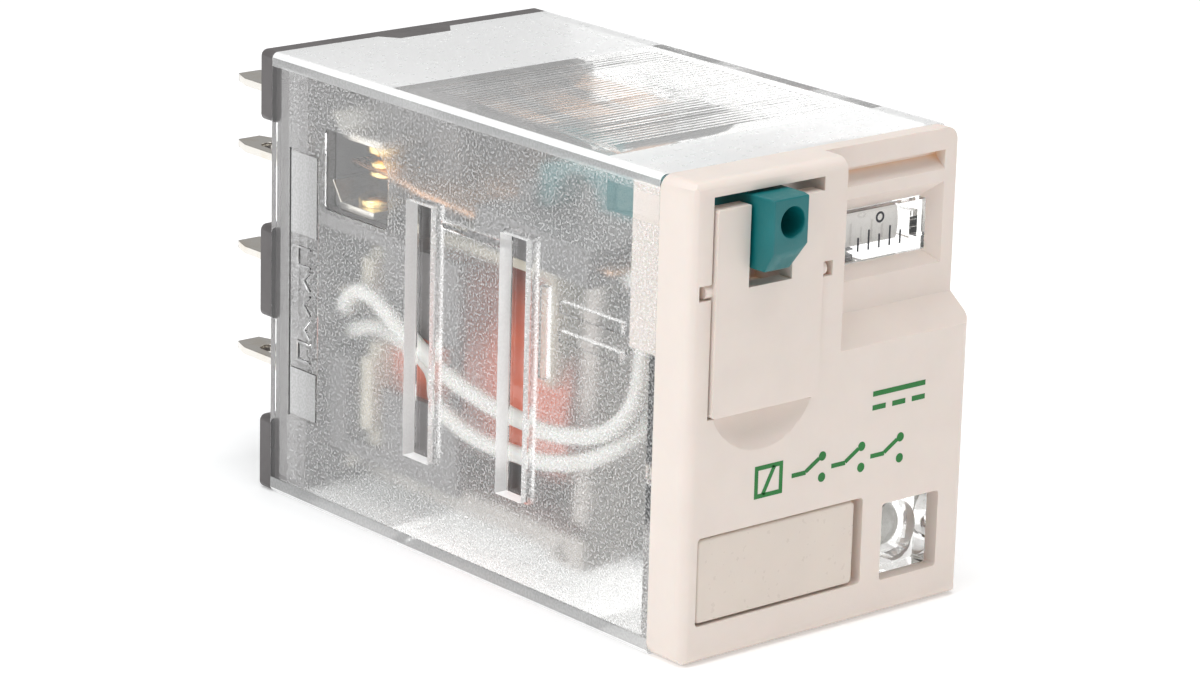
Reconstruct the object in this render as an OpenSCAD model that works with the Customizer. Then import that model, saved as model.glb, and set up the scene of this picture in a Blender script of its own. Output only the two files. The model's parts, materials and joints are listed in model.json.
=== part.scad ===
// Four-pole plug-in industrial relay, lying on its narrow side.
// X is the width, Z the height of the front face, and +Y runs from the front face back to the blades.
// Inside the modules a point is [x, depth, z], where depth counts back from the plane of the front face.

/* [Case] */
// Width of the case
case_w = 21; // [20.6:0.1:22]
// Height of the case
case_h = 27; // [26.8:0.1:28]
// Depth from the front face to the open end of the clear cover
case_d = 37.6; // [37.4:0.1:38.4]
// Wall thickness of the clear cover
wall = 0.8; // [0.7:0.05:0.9]
// Depth of the opaque front frame
frame_d = 2.9; // [2.8:0.05:3]
// Height of the stand-off pads on the base
pad_t = 1.1; // [0.8:0.1:1.5]

/* [Blades] */
// Width of a plug blade
blade_w = 2.5; // [2.2:0.1:2.6]
// Thickness of a plug blade
blade_t = 0.5; // [0.4:0.05:0.5]
// Depth of the blade tips behind the front face
blade_tip = 45.3; // [44:0.1:47]
// Distance between neighbouring poles
pole_pitch = 4.4; // [4.3:0.1:4.4]
// Heights of the blade rows above the resting side: break, make, common and coil
row_nc = 23.65; // [23.6:0.01:23.7]
row_no = 19.55; // [19.5:0.01:19.6]
row_com = 13.2; // [13.1:0.05:13.3]
row_coil = 6.8; // [6.7:0.05:6.9]

/* [Motion] */
// Angle the armature swings from rest to the pole face
armature_swing = 3; // [2.8:0.1:3]
// Travel of the test button
button_travel = 1.15; // [1:0.05:1.15]

/* [Controls] */
// How far the test button stands out of the front face
button_proud = 1.8; // [1:0.05:2]
// Width of the test button
button_w = 2.7; // [2.4:0.1:2.7]
// Radius of the tool hole in the test button
button_hole_r = 0.85; // [0.8:0.05:0.9]
// Height of the hinge of the lock door
door_hinge_z = 21; // [20.9:0.05:21.05]

/* [Hidden] */

$fn = 48;
e = 0.02;                       // clearance of a push fit
face_y = -(blade_tip - button_proud) / 2; // row-frame place of the front face
half_w = case_w / 2;
in_x = half_w - wall;           // inner half width of the cover
in_lo = wall;                   // inner floor of the cover
in_hi = case_h - wall;          // inner roof of the cover
cover_front = frame_d;          // the cover starts behind the frame
front_wall = 0.9;               // front wall of the cover
cavity_d = cover_front + front_wall;
poles = [for (i = [-1.5:1:1.5]) i * pole_pitch];
coil_x = 1.5 * pole_pitch;      // half distance of the coil blades

// Front frame
rim_d = 1.9;                    // set-back of the corner that carries the window
rim_x = 0.4;                    // where the set-back starts
rim_z = [16.1, 17.5];           // foot and head of the slope below it
edge_r = 0.8;                   // rounding of the outer front edges
pocket_x = [-9.22, -1.28];      // pocket of the lock door
pocket_z = [13.9, 26.2];
pocket_d = 0.9;
well_z = 20;                    // above this the pocket is open to the inside
well_d = [5.25, 5.6];           // rear wall of the door well
well_t = 0.4;
well_x = [pocket_x[0] - well_t, pocket_x[1] + well_t];
well_floor = 16.8;
notch_w = 0.85;
window_x = [0.9, 8.75];         // flag window at the back of its pocket
window_z = [20.05, 23.05];
window_rim_x = [0.9, 9.6];      // the same at the rim
window_rim_z = [19.3, 23.95];
led_x = [4.1, 8.45];            // status lamp window
led_z = [2.1, 6.6];
led_face = 0.85;                // its clear face
lamp = [6.3, 4.35];             // centre of the lamp as [x, z]
lamp_r = 1.5;
legend_x = [-9.6, 2.6];         // pocket of the legend tab
legend_z = [2.25, 7.3];
legend_d = 1;
core_x = 8.9;                   // coring of the rear face of the frame
core_z = [1.4, 25.4];
core_deep = [0.2, 0.42];        // its depth at the bottom and at the top
window_seat = 0.9;              // margin left full beside the flag window
peg_x = 8.6;                    // pegs that fix the frame to the cover
peg_z = 10;
peg_r = 0.7;

// Lock door
door_x = [-9.1, -1.4];
door_z = [14, 25.5];
door_d = [-0.25, 0.75];
door_hinge_d = 0.45;
door_pin_r = 0.38;
cutout_x = [-6.8, -3.7];
cutout_z = 20.95;
scallop_r = 3.95;               // thumb dish below the door
scallop_z = 15.5;
scallop_d = 1.1;

// Test button
button_x = -5.25;
button_z = [21.95, 26];
button_hole = [-5.2, 24.65];    // its tool hole as [x, z]
stem_z = [22.45, 24.45];

// Base
base_t = 3;
base_front = case_d - base_t;
shelf_z = [17.2, 18];
shelf_front = 26;
cheek_front = 22.3;
seat = case_d + pad_t;
pads = [[0, 4.57], [10.75, 16.4], [22.75, case_h]];

// Magnet
coil_z = 9.7;
hinge_d = 13.4;                 // hinge of the armature
hinge_z = 2.4;
pivot_r = 0.5;
yoke_z = [1.7, 3.1];
yoke_d = [13.55, 33];
yoke_w = 6.3;
yoke_rear = 31.5;
pole_face = 13.45;
flange_x = 7.3;                 // rear flange of the bobbin
flange_z = [3.15, 16.4];
flange_t = 1;
lug_x = 7.95;                   // its lugs reach through the cheeks of the base
plate_x = 6.6;                  // front flange and its top plate
plate_z = [17.55, 18.15];
flange_d = 15.4;
bobbin_d = [14.75, 31.45];
tape_r = 6.3;
winding_r = 6;
tube_r = 3.7;
core_r = 3;

// Contacts
contact_d = 31;                 // moving contact at rest
contact_r = 1.2;
break_face = 21.65;
make_face = 19.25;
rivet_h = 1.2;                  // both faces of the moving contact
rest_gap = 0.06;
moving_z = break_face - rest_gap - rivet_h / 2; // its centre at rest

// The same point with the armature on the pole face
function swung(p, a) = [
    hinge_d + (p[0] - hinge_d) * cos(a) - (p[1] - hinge_z) * sin(a),
    hinge_z + (p[0] - hinge_d) * sin(a) + (p[1] - hinge_z) * cos(a)];
pulled = swung([contact_d, moving_z], -armature_swing);
spring_z = pulled[1];
spring_t = 0.25;

// Lead wires: [x, depth, z], from the common blade to the moving spring
wire_r = 0.5;
outer_route = [
    [-6.6, 33.5, 12.3], [-7.5, 33.4, 12.1], [-8.3, 32.6, 12.7], [-8.55, 31.2, 13.8], [-8.55, 29.4, 13.7],
    [-8.55, 26.8, 12.35], [-8.55, 23.8, 11.05], [-8.55, 19, 10], [-8.55, 14, 9.65],
    [-8.57, 10, 10.35], [-8.6, 7.6, 11.6], [-8.55, 6.15, 13.4], [-8.15, 6.15, 15.4],
    [-7.5, 6.7, 17.4], [-6.8, 7.8, 18.9], [-6.6, 9.2, 19.4]];
inner_route = [
    [-2.2, 33.5, 12.3], [-3.6, 33.7, 11.4], [-5.6, 33.8, 10.6], [-6.9, 33.5, 10.6], [-7.25, 32.4, 11],
    [-7, 31, 11.4], [-6.95, 29.4, 11.2], [-6.95, 27.4, 10.5], [-7.1, 26.1, 9.95], [-7.55, 25.2, 9.55],
    [-8.2, 24.3, 9.1], [-8.54, 23.1, 8.6], [-8.55, 21.6, 8.05], [-8.55, 19.5, 7.65], [-8.55, 15.5, 7.65],
    [-8.55, 11.5, 8.4], [-8.3, 8.6, 9.7], [-7.3, 6.7, 11.5], [-6.1, 6.2, 13.8], [-4.6, 6.4, 16],
    [-3, 7.2, 17.8], [-2.3, 8.1, 18.9], [-2.2, 9.2, 19.35]];

// Status flag
flag_d = 7.4;
flag_z = 21.4;
flag_r = [2.3, 2.8];
flag_x = [1.7, 8.1];
flag_pin_r = 0.4;
finger_z = 19.9;                // where the moving block drives it
fork_d = flag_d + 0.46;
lever_tilt = 14.4;

module in_place() translate([0, face_y, 0]) children();

// A block given by its low and high corners
module block(lo, hi) translate(lo) cube(hi - lo);

// A profile drawn as [depth, z] and swept along the width
module across(x0, x1) translate([x0, 0, 0]) rotate([90, 0, 90]) linear_extrude(x1 - x0) children();

// A profile drawn as [x, z] and swept back from depth d0 to d1
module back(d0, d1) translate([0, d1, 0]) rotate([90, 0, 0]) linear_extrude(d1 - d0) children();

// A round bar along the width
module bar_x(x0, x1, d, z, r) translate([x0, d, z]) rotate([0, 90, 0]) cylinder(h = x1 - x0, r = r);

// A round bar along the depth
module bar_d(x, d0, d1, z, r) translate([x, d0, z]) rotate([-90, 0, 0]) cylinder(h = d1 - d0, r = r);

module rounded_square(x, z, r) {
    translate([x[0] + r, z[0]]) square([x[1] - x[0] - 2 * r, z[1] - z[0]]);
    translate([x[0], z[0] + r]) square([x[1] - x[0], z[1] - z[0] - 2 * r]);
    for (cx = [x[0] + r, x[1] - r], cz = [z[0] + r, z[1] - r]) translate([cx, cz]) circle(r);
}

// Parts of the armature are drawn against the pole face and swung back to their rest
module at_rest() translate([0, hinge_d, hinge_z]) rotate([armature_swing, 0, 0])
    translate([0, -hinge_d, -hinge_z]) children();

// A strip of sheet that runs back at height z0, steps to z1 and runs on: profile [depth, z]
function stepped_strip(d, z0, z1, t) = [
    [d[0], z0 - t / 2], [d[1], z0 - t / 2], [d[2], z1 - t / 2], [d[3], z1 - t / 2],
    [d[3], z1 + t / 2], [d[2], z1 + t / 2], [d[1], z0 + t / 2], [d[0], z0 + t / 2]];

// ---------- casing ----------

// Outer block of the frame, with rounded corners and front edges
module frame_block() intersection() {
    back(0, frame_d) rounded_square([-half_w, half_w], [0, case_h], edge_r);
    across(-half_w, half_w) rounded_square([0, frame_d + edge_r], [0, case_h], edge_r);
    linear_extrude(case_h) rounded_square([-half_w, half_w], [0, frame_d + edge_r], edge_r);
}

module frame_cuts() {
    // set-back corner with its slope
    across(rim_x, half_w + 1) polygon([
        [-1, rim_z[0] - 0.7], [0, rim_z[0]], [rim_d, rim_z[1]], [rim_d, case_h + 1], [-1, case_h + 1]]);
    // grip groove under the upper rim
    across(0.9, 9.6) polygon([[1.8, 25.75], [2.7, 25.75], [2.7, 25.35], [rim_d, 24.65], [1.8, 24.65]]);
    // funnel of the flag window: a slope seen from the side and one seen from above
    intersection() {
        across(window_rim_x[0], window_rim_x[1]) polygon([
            [rim_d - 0.5, window_rim_z[0]], [rim_d, window_rim_z[0]], [frame_d, window_z[0]], [frame_d + 1, window_z[0]],
            [frame_d + 1, window_z[1]], [frame_d, window_z[1]], [rim_d, window_rim_z[1]], [rim_d - 0.5, window_rim_z[1]]]);
        linear_extrude(case_h) polygon([
            [window_rim_x[0], rim_d - 0.5], [window_rim_x[0], rim_d], [window_x[0], frame_d], [window_x[0], frame_d + 1],
            [window_x[1], frame_d + 1], [window_x[1], frame_d], [window_rim_x[1], rim_d], [window_rim_x[1], rim_d - 0.5]]);
    }
    // lamp window
    back(-1, frame_d + 1) rounded_square(led_x, led_z, 0.2);
    // legend pocket
    back(-1, legend_d) rounded_square(legend_x, legend_z, 0.25);
    // door pocket, its open well, the thumb scallop and the hinge slots
    block([pocket_x[0], -1, pocket_z[0]], [pocket_x[1], pocket_d, pocket_z[1]]);
    block([pocket_x[0], -1, well_z], [pocket_x[1], frame_d + 1, pocket_z[1]]);
    dish_r = (scallop_r * scallop_r + scallop_d * scallop_d) / (2 * scallop_d);
    translate([button_x, scallop_d - dish_r, scallop_z]) sphere(dish_r);
    block([pocket_x[0] - 0.8, -1, door_hinge_z - notch_w / 2],
          [pocket_x[1] + 0.8, door_hinge_d, door_hinge_z + notch_w / 2]);
    bar_x(pocket_x[0] - 0.8, pocket_x[1] + 0.8, door_hinge_d, door_hinge_z, notch_w / 2);
}

// Coring of the rear face: a shallow sloped recess around the set-back corner with the flag window
module frame_coring() difference() {
    across(-core_x, core_x) polygon([
        [frame_d - core_deep[0], core_z[0]], [frame_d + 1, core_z[0]],
        [frame_d + 1, core_z[1]], [frame_d - core_deep[1], core_z[1]]]);
    block([window_x[0] - window_seat, 0, window_z[0] - window_seat],
          [core_x + 1, frame_d + 2, core_z[1] + 1]);
}

module front_frame() in_place() color("linen") {
    difference() {
        frame_block();
        frame_cuts();
        frame_coring();
    }
    // door well inside the cover, open at the top
    difference() {
        block([well_x[0] + e, frame_d - 0.6, well_floor + e], [well_x[1] - e, well_d[1], in_hi - e]);
        block([pocket_x[0], frame_d - 1, well_z - 0.6], [pocket_x[1], well_d[0], in_hi + 1]);
        block([button_x - button_w / 2 - 0.15, well_d[0] - 1, stem_z[0] - 0.2],
              [button_x + button_w / 2 + 0.15, well_d[1] + 1, in_hi + 1]);
    }
    for (s = [-1, 1]) bar_d(s * peg_x, frame_d - 0.5, cavity_d - 0.1, peg_z, peg_r);
}

// Ridged grip: a comb of V grooves
grip_d = [9, 25.2];
grip_x = 8.4;
grip_pitch = 0.45;
grip_deep = 0.18;
module grip_comb() across(-grip_x, grip_x) polygon([
    for (i = [0:round((grip_d[1] - grip_d[0]) / grip_pitch)], k = [0, 1])
        [grip_d[0] + (i + k / 2) * grip_pitch, k == 0 ? 0.5 : -grip_deep],
    [grip_d[1] + grip_pitch, 0.5]]);

// Side channels pressed into both broad walls
channel_z = [5.7, 20.9];
channel_d = [[13.9, 16.2], [22.4, 24.7]];
channel_deep = 0.85;
channel_floor = 0.45;

// Polished windows and a marked strip, sunk a little into both broad walls
sunk = 0.12;
inspect_d = [26.4, 32.4];
inspect_z = [18.7, 23.5];
inspect_corner = 1.5;
strip_d = [33, 35.8];
strip_z = [5.3, 21.7];
pad_z = [[5.3, 8.5], [16.5, 21.7]];
mark_w = 0.14;
mark_r = 0.55;

module inspection_window() {
    r = 0.35;
    d = inspect_d;
    z = inspect_z;
    hull() {
        for (p = [[d[0] + r, z[0] + r], [d[1] - r, z[0] + r], [d[1] - r, z[1] - r],
                  [d[0] + inspect_corner, z[1] - r], [d[0] + r, z[1] - inspect_corner]]) translate(p) circle(r);
    }
}

// A thin raised line through points
module stroke(p) for (i = [0:len(p) - 2]) {
    v = p[i + 1] - p[i];
    translate(p[i]) rotate(atan2(v[1], v[0])) translate([-mark_w / 2, -mark_w / 2]) square([norm(v) + mark_w, mark_w]);
}

// Arrow heads between two brackets
module strip_marks() {
    d = (strip_d[0] + strip_d[1]) / 2;
    for (z = [10.9, 12.4, 13.9]) stroke([[d - mark_r, z - mark_r], [d, z], [d - mark_r, z + mark_r]]);
    for (z = [9.5, 15.3]) stroke([[d - mark_r, z - mark_r], [d + mark_r, z - mark_r], [d + mark_r, z + mark_r], [d - mark_r, z + mark_r]]);
}

module sunk_side() {
    inspection_window();
    difference() {
        translate([strip_d[0], strip_z[0]]) square([strip_d[1] - strip_d[0], strip_z[1] - strip_z[0]]);
        for (z = pad_z) translate([strip_d[0] + 0.15, z[0] + 0.15]) square([strip_d[1] - strip_d[0] - 0.3, z[1] - z[0] - 0.3]);
        strip_marks();
    }
}

module latch(shrink) linear_extrude(wall + 0.02) polygon([
    [-1.9 + shrink, 36.5 + shrink], [1.9 - shrink, 36.5 + shrink], [2.7 - shrink, case_d], [-2.7 + shrink, case_d]]);

module clear_cover() in_place() color("white", 0.4) difference() {
    union() {
        difference() {
            back(cover_front, case_d) rounded_square([-half_w, half_w], [0, case_h], 0.4);
            block([-in_x, cavity_d, in_lo], [in_x, case_d + 1, in_hi]);
        }
        // the walls behind the side channels
        for (s = [-1, 1], d = channel_d)
            block([s < 0 ? -in_x : in_x - 0.5, d[0] - 0.12, channel_z[0] - 0.12],
                  [s < 0 ? -in_x + 0.5 : in_x, d[1] + 0.12, channel_z[1] + 0.12]);
        // raised windows
        block([window_x[0] + 0.05, 2.35, window_z[0] + 0.05], [window_x[1] - 0.05, cover_front, window_z[1] - 0.05]);
        back(led_face, cover_front)
            rounded_square([led_x[0] + 0.03, led_x[1] - 0.03], [led_z[0] + 0.03, led_z[1] - 0.03], 0.2);
        // guide ribs inside the broad walls
        for (s = [-1, 1]) {
            rib(s, [15.3, 21.9], [19.8, 20.25]);
            rib(s, [12.5, 13.1], [13.2, 18.5]);
            rib(s, [6.2, 11.4], [17.35, 18]);
            rib(s, [6.2, 11.4], [15.7, 16.3]);
        }
        // ears that carry the status flag
        for (x = [flag_x[0] - 0.7, flag_x[1] + 0.1])
            block([x, cavity_d - 0.1, flag_z - 0.8], [x + 0.6, flag_d + 0.8, flag_z + 0.8]);
    }
    translate([0, 0, case_h]) grip_comb();
    mirror([0, 0, 1]) grip_comb();
    for (s = [-1, 1], d = channel_d)
        block([s < 0 ? -half_w - 1 : half_w - channel_deep, d[0], channel_z[0]],
              [s < 0 ? -half_w + channel_deep : half_w + 1, d[1], channel_z[1]]);
    across(-half_w - 1, -half_w + sunk) sunk_side();
    across(half_w - sunk, half_w + 1) sunk_side();
    // opening of the door well
    block([-in_x, cover_front - 1, well_floor], [well_x[1], cavity_d + 1, in_hi]);
    for (s = [-1, 1]) bar_d(s * peg_x, cover_front - 1, cavity_d + 1, peg_z, peg_r + e);
    // seat of the lamp and of the flag's pins
    bar_d(lamp[0], led_face + 0.9, cavity_d + 1, lamp[1], lamp_r + 0.2);
    bar_x(flag_x[0] - 1, flag_x[1] + 1, flag_d, flag_z, flag_pin_r + 0.05);
    // latch notches
    translate([0, 0, in_hi - 0.01]) latch(0);
    translate([0, 0, -0.01]) latch(0);
}

module rib(s, d, z) block([s < 0 ? -in_x : in_x - 0.35, d[0], z[0]], [s < 0 ? -in_x + 0.35 : in_x, d[1], z[1]]);

module base() in_place() color([0.13, 0.12, 0.12]) difference() {
    union() {
        block([-in_x + e, base_front, in_lo + e], [in_x - e, case_d, in_hi - e]);
        for (z = pads) back(case_d, seat) rounded_square([-half_w, half_w], z, 0.4);
        translate([0, 0, in_hi - e]) latch(e);
        translate([0, 0, 0]) latch(e);
        // shelf between contacts and coil, and the barriers between the poles
        block([-9.05, shelf_front, shelf_z[0]], [9.05, base_front, shelf_z[1]]);
        for (x = [-pole_pitch, 0, pole_pitch])
            block([x - 0.4, 26.5, shelf_z[1]], [x + 0.4, base_front, 25.9]);
        // cheeks beside the coil and posts behind the yoke
        for (s = [-1, 1]) {
            block([s < 0 ? -7.95 : 7.45, cheek_front, 3.3], [s < 0 ? -7.45 : 7.95, base_front, shelf_z[0]]);
            block([s * 3 - 1.5, yoke_d[1], 3.5], [s * 3 + 1.5, base_front, 9]);
        }
    }
    for (x = poles, z = [row_nc, row_no, row_com]) blade_slot(x, z);
    for (x = [-coil_x, coil_x]) blade_slot(x, row_coil);
    // openings of the cheeks for the lead wires and the lugs of the bobbin
    for (s = [-1, 1]) {
        block([s < 0 ? -8.2 : 7.3, 29.5, 9], [s < 0 ? -7.3 : 8.2, base_front, 16.7]);
        block([s < 0 ? -8.2 : 7.3, 29.5, 4.2], [s < 0 ? -7.3 : 8.2, 32.8, 9.1]);
        block([s < 0 ? -8.2 : 7.3, 23.2, 8.2], [s < 0 ? -7.3 : 8.2, 29.6, 12]);
    }
    // and of the lamp's leads
    block([7.3, 33.6, 6.2], [8.2, base_front, 7.4]);
}

module blade_slot(x, z) block([x - blade_w / 2, base_front - 1, z - blade_t / 2],
                              [x + blade_w / 2, seat + 1, z + blade_t / 2]);

module lock_door() in_place() color("linen") {
    difference() {
        back(door_d[0], door_d[1]) rounded_square(door_x, door_z, 0.2);
        block([cutout_x[0], -1, cutout_z], [cutout_x[1], 2, door_z[1] + 1]);
    }
    bar_x(door_x[0] - 0.5, door_x[0] + 0.5, door_hinge_d - 0.08, door_hinge_z, door_pin_r);
    bar_x(door_x[1] - 0.5, door_x[1] + 0.5, door_hinge_d - 0.08, door_hinge_z, door_pin_r);
}

hook_z = 21.7;

module test_button() in_place() color("teal") {
    x = [button_x - button_w / 2, button_x + button_w / 2];
    // cap with a tool hole
    difference() {
        hull() {
            back(-button_proud + 0.6, 3) polygon([
                [x[0], button_z[0]], [x[1] - 0.95, button_z[0]], [x[1], button_z[0] + 0.95],
                [x[1], button_z[1]], [x[0], button_z[1]]]);
            back(-button_proud, 0) polygon([
                [x[0] + 0.06, button_z[0] + 1.15], [x[1] - 1, button_z[0] + 1.15], [x[1] - 0.2, button_z[0] + 1.45],
                [x[1] - 0.2, button_z[1]], [x[0] + 0.06, button_z[1]]]);
        }
        bar_d(button_hole[0], -button_proud - 1, -button_proud + 2, button_hole[1], button_hole_r);
    }
    // stem with a stop behind the well and a sprung arch that meets the moving block
    sx = [button_x - 1.15, button_x + 1.15];
    block([sx[0], 3, stem_z[0]], [sx[1], 11.8, stem_z[1]]);
    block([button_x - 1.85, well_d[1] + 0.05, 22], [button_x + 1.85, 6.6, stem_z[1]]);
    across(sx[0], sx[1]) difference() {
        polygon([[11.8, stem_z[0]], [11.8, stem_z[1]], [17.3, stem_z[1] - 0.4],
                 [17.3, hook_z], [16.3, hook_z], [16.3, stem_z[0]]]);
        translate([14, stem_z[0] - 0.2]) circle(1.9);
    }
}

module legend_tab() in_place() color("ivory")
    back(0.08, legend_d) rounded_square([legend_x[0] + 0.12, legend_x[1] - 0.55], [legend_z[0] + 0.12, legend_z[1] - 0.12], 0.3);

// ---------- blades and fixed contacts ----------

module blade_outline() difference() {
    polygon([[-blade_w / 2, base_front], [-blade_w / 2, blade_tip - 1.3], [-0.8, blade_tip], [0.8, blade_tip],
             [blade_w / 2, blade_tip - 1.3], [blade_w / 2, base_front]]);
    for (d = [-0.6, 0.6]) translate([0, blade_tip - 2.9 + d]) circle(0.6);
    translate([-0.6, blade_tip - 3.5]) square([1.2, 1.2]);
}

module blade(x, z) translate([x, 0, z - blade_t / 2]) linear_extrude(blade_t) blade_outline();

fixed_half_w = 1.55;

module break_blade(x) in_place() color("gainsboro") {
    blade(x, row_nc);
    across(x - fixed_half_w, x + fixed_half_w)
        polygon(stepped_strip([base_front, 34.2, 33.2, 29.6], row_nc, 22.7, blade_t));
}

module make_blade(x) in_place() color("gainsboro") {
    blade(x, row_no);
    across(x - fixed_half_w, x + fixed_half_w)
        polygon(stepped_strip([base_front, 34.2, 33.4, 30.3], row_no, 18.35, blade_t));
}

module short_blade(x, z) in_place() color("gainsboro") {
    blade(x, z);
    block([x - blade_w / 2, 33.7, z - blade_t / 2], [x + blade_w / 2, base_front, z + blade_t / 2]);
}

// A contact rivet: a disc with a shallow dome on one face
module rivet(r, h) rotate_extrude() polygon([[0, 0], [r, 0], [r, h * 0.6], [r * 0.75, h * 0.88], [r * 0.4, h], [0, h]]);

module break_contacts() in_place() color("goldenrod") for (x = poles)
    translate([x, contact_d + 0.1, 22.7 - blade_t / 2]) mirror([0, 0, 1]) rivet(contact_r, 22.7 - blade_t / 2 - break_face);

module make_contacts() in_place() color("goldenrod") for (x = poles)
    translate([x, contact_d + 0.8, 18.35 + blade_t / 2]) rivet(contact_r, make_face - 18.35 - blade_t / 2);

// ---------- moving contacts ----------

spring_half_w = 1.5;
spring_tip = 33;

module moving_spring(x) in_place() color("peru") at_rest() translate([x, 0, spring_z - spring_t / 2])
    linear_extrude(spring_t) polygon([
        [-spring_half_w, 9.9], [-spring_half_w, 27], [-1.05, 29], [-1.05, spring_tip + 1],
        [1.05, spring_tip + 1], [1.05, 29], [spring_half_w, 27], [spring_half_w, 9.9]]);

module moving_contacts() in_place() color("goldenrod") at_rest() for (x = poles) translate([x, pulled[0], spring_z]) {
    h = (rivet_h - spring_t) / 2;
    translate([0, 0, spring_t / 2]) rivet(contact_r * 0.92, h);
    translate([0, 0, -spring_t / 2]) mirror([0, 0, 1]) rivet(contact_r * 0.92, h);
}

block_half_w = 8.8;
block_d = [11, 21];
block_z = [spring_z - 1.1, spring_z + 1.1];
apron_z = 15.2;
armature_t = 1.3;

module moving_block() in_place() color("dimgray") at_rest() difference() {
    union() {
        block([-block_half_w, block_d[0], block_z[0]], [block_half_w, block_d[1], block_z[1]]);
        block([-5, 10.9, apron_z], [5, hinge_d - armature_t, block_z[0] + 1]);
        // upstand for the test button
        block([button_x - 1.6, 18.5, block_z[1] - 0.5], [button_x + 1.6, 19.7, 22.6]);
        // forked finger for the status flag: two tines round its lever, joined at both sides
        for (d = [fork_d - 1, fork_d + 0.35]) block([4.2, d, finger_z - 0.35], [6, d + 0.65, finger_z + 0.35]);
        for (x = [4.2, 5.6]) block([x, fork_d - 1, finger_z - 0.35], [x + 0.4, fork_d + 1, finger_z + 0.35]);
        block([4.2, fork_d + 0.9, finger_z - 0.35], [6, block_d[0] + 1, finger_z + 0.35]);
    }
    for (x = poles) block([x - spring_half_w, 0, spring_z - spring_t / 2], [x + spring_half_w, 40, spring_z + spring_t / 2]);
    for (x = [-3, 3]) bar_d(x, 10, 20, 16.8, 0.6);
}

module armature() in_place() color("silver") at_rest() {
    armature_plate();
    // pivots in the ears of the yoke
    for (x = [-7.1, 6]) bar_x(x, x + 1.1, hinge_d, hinge_z, pivot_r);
}

module armature_plate() difference() {
    back(hinge_d - armature_t, hinge_d) union() {
        translate([-6.1, 1.6]) square([12.2, 3]);
        translate([-6.8, 4.2]) square([13.6, block_z[0] - 4.2]);
    }
    for (x = [-3, 3]) bar_d(x, 10, 20, 16.8, 0.6);
}

module block_rivets() in_place() color("gainsboro") at_rest() for (x = [-3, 3]) {
    bar_d(x, 10.9, hinge_d, 16.8, 0.6);
    translate([x, 10.9, 16.8]) rotate([90, 0, 0]) cylinder(h = 0.5, r1 = 1.1, r2 = 0.7);
}

module armature_spring() in_place() color("lightsteelblue") {
    across(-2.4, 2.4) polygon([[26, 1.7], [26, 1.48], [14.6, 1.2], [11.7, 0.9], [11.5, 1], [11.55, 4.6], [11.8, 4.6],
        [11.75, 1.15], [13.6, 1.35], [14.4, 1.7]]);
}

// ---------- electromagnet ----------

module yoke() in_place() color("silver") difference() {
    union() {
        block([-yoke_w, yoke_d[0], yoke_z[0]], [yoke_w, yoke_d[1], yoke_z[1]]);
        block([-yoke_w, yoke_rear, yoke_z[0]], [yoke_w, yoke_d[1], 15.5]);
        for (s = [-1, 1]) block([s < 0 ? -7.3 : 6.3, 11.6, yoke_z[0]], [s < 0 ? -6.3 : 7.3, 14.6, 3.5]);
    }
    bar_d(0, yoke_rear - 1, yoke_d[1] + 1, coil_z, 2.2);
    bar_x(-8, 8, hinge_d, hinge_z, pivot_r + 0.04);
}

module core() in_place() color("silver") {
    bar_d(0, pole_face, pole_face + 1.2, coil_z, 4.6);
    bar_d(0, pole_face + 1.2, yoke_rear, coil_z, core_r);
    bar_d(0, yoke_rear, yoke_d[1], coil_z, 2.2);
}

module bobbin() in_place() color("wheat") difference() {
    union() {
        bar_d(0, bobbin_d[0], bobbin_d[1], coil_z, tube_r);
        // front flange: a disc under the tape, wider above it, with a plate over the winding
        bar_d(0, flange_d, flange_d + flange_t, coil_z, winding_r - 0.05);
        block([-plate_x, flange_d, notch_z], [plate_x, flange_d + flange_t, plate_z[1]]);
        block([-plate_x, flange_d, plate_z[0]], [plate_x, shelf_front - 0.2, plate_z[1]]);
        // rear flange with lugs that snap into the cheeks of the base
        back(bobbin_d[1] - flange_t, bobbin_d[1]) rounded_square([-flange_x, flange_x], flange_z, 0.6);
        for (s = [-1, 1], z = lug_z)
            block([s < 0 ? -lug_x : flange_x - 0.1, bobbin_d[1] - flange_t, z[0]],
                  [s < 0 ? 0.1 - flange_x : lug_x, bobbin_d[1], z[1]]);
    }
    bar_d(0, bobbin_d[0] - 1, bobbin_d[1] + 1, coil_z, core_r);
    for (s = [-1, 1]) {
        bar_d(s * tail_x, bobbin_d[1] - flange_t - 1, bobbin_d[1] + 1, row_coil, 0.3);
        // notch of the inner lead wire
        block([s < 0 ? -flange_x - 1 : 6.35, bobbin_d[1] - flange_t - 1, 10.4],
              [s < 0 ? -6.35 : flange_x + 1, bobbin_d[1] + 1, 12.7]);
    }
}

lug_z = [[5.2, 9.6], [13.4, 15.7]];
notch_z = 11.4;                 // foot of the wide part of the front flange
tail_x = 6.7;                   // lead-outs of the winding
winding_d = [flange_d + flange_t, bobbin_d[1] - flange_t];
tape_d = [14.5, 30.4];          // the tape runs on over the rim of the front flange
tape_end_r = 6.3;               // its rounded end

module tube(d, r0, r1) difference() {
    bar_d(0, d[0], d[1], coil_z, r1);
    bar_d(0, d[0] - 1, d[1] + 1, coil_z, r0);
}

module coil_winding() in_place() color("chocolate") tube(winding_d, tube_r, winding_r);

module coil_tape() in_place() color("orangered") difference() {
    intersection() {
        tube(tape_d, winding_r + 0.01, tape_r);
        across(-tape_r - 1, tape_r + 1) {
            translate([tape_d[0] + tape_end_r, coil_z + 0.3]) circle(tape_end_r);
            translate([tape_d[0] + tape_end_r, 0]) square([tape_d[1], 2 * coil_z]);
        }
    }
    block([-tape_r - 1, flange_d - e, notch_z - e], [tape_r + 1, flange_d + flange_t + e, case_h]);
}

module coil_tails() in_place() color("chocolate") for (s = [-1, 1])
    bar_d(s * tail_x, winding_d[1] + 0.05, 33.65, row_coil, 0.2);

// ---------- lead wires ----------

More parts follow.
